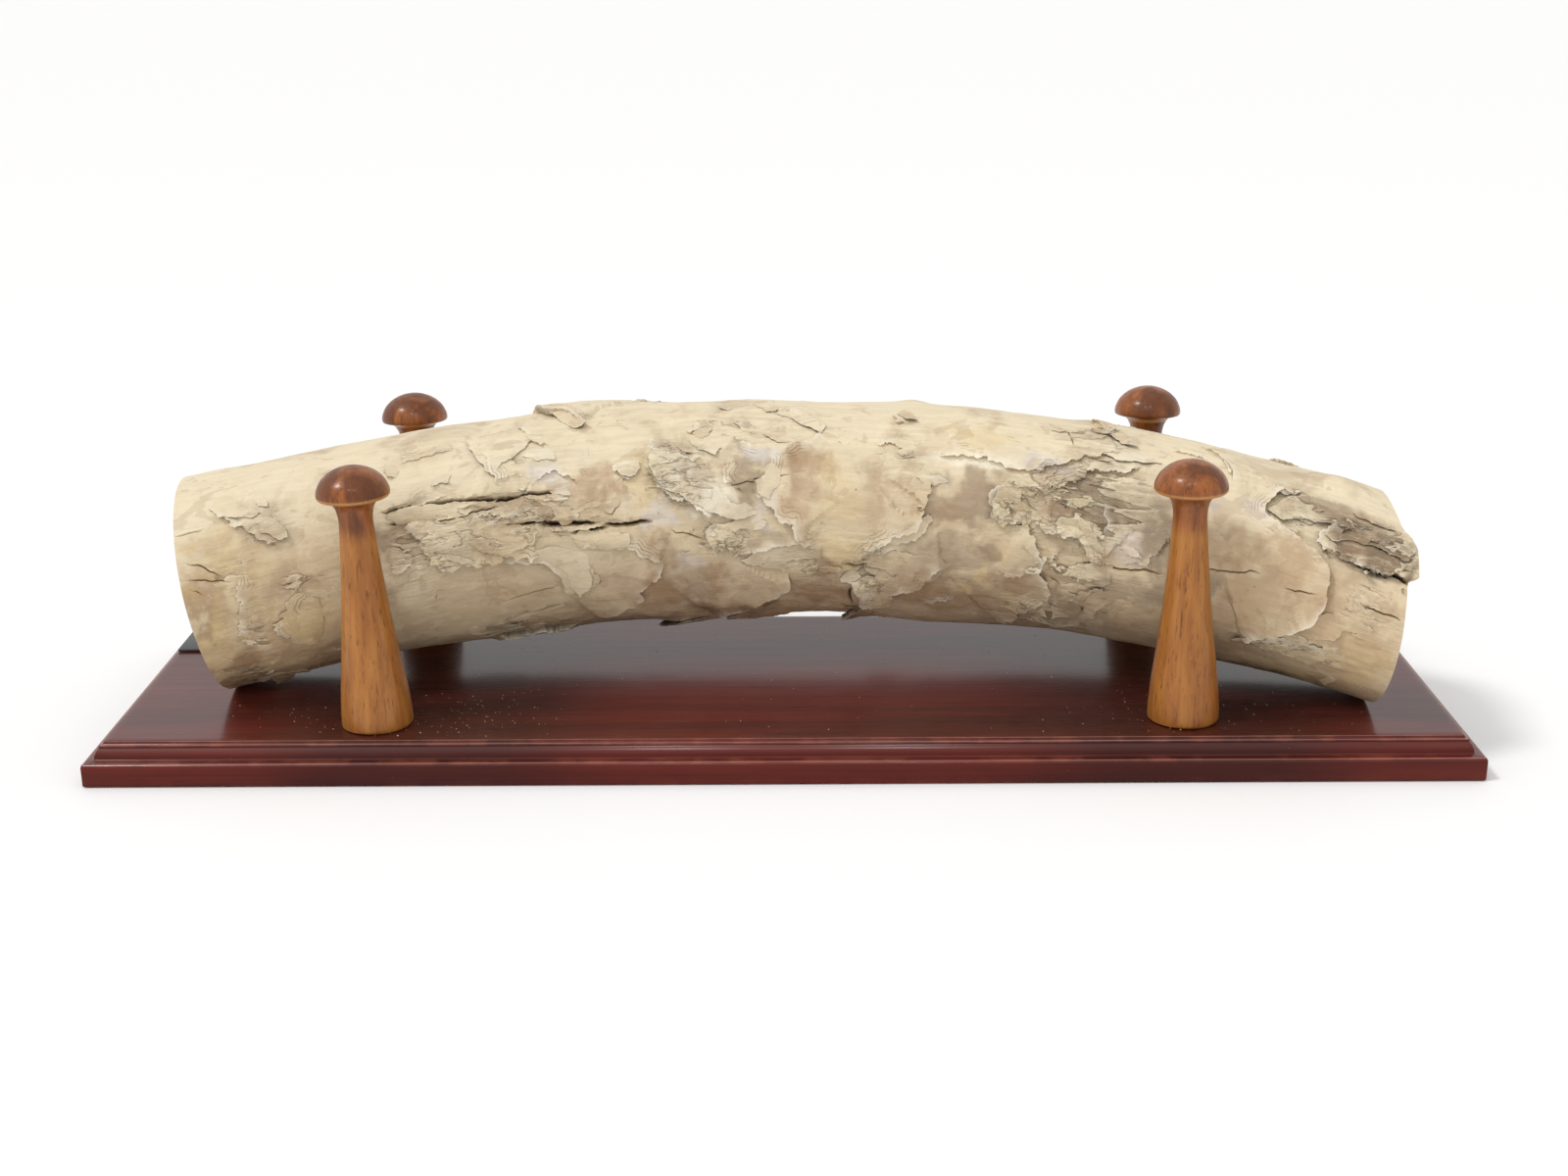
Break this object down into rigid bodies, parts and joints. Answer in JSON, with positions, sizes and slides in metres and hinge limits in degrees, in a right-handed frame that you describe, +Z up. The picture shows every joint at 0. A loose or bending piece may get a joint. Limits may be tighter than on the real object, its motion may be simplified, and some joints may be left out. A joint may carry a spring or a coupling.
{
  "type": "fossil tusk section on peg stand",
  "caption": "Curved section of fossil tusk with flaking, cracked outer layers, lying on a moulded hardwood board between turned pegs.",
  "frame": {"origin": "middle of the board's underside", "axes": "+Z up, +X along the board towards the right of the pictured view, +Y away from the viewer"},
  "size_m": [0.635, 0.1844, 0.1473],
  "materials": {
    "tusk": "dry fossil ivory, cream to brown, smooth where the outer layer is whole and crumbly where it has flaked",
    "board": "dark red mahogany under glossy varnish",
    "pegs": "golden brown turned hardwood, satin varnish",
    "plate": "glossy black"
  },
  "bodies": {
    "root": {"tusk": "tusk", "base_board": "board", "peg_front_left": "pegs", "peg_front_right": "pegs", "peg_back_left": "pegs", "peg_back_right": "pegs", "label_plate": "plate"}
  },
  "joints": []
}
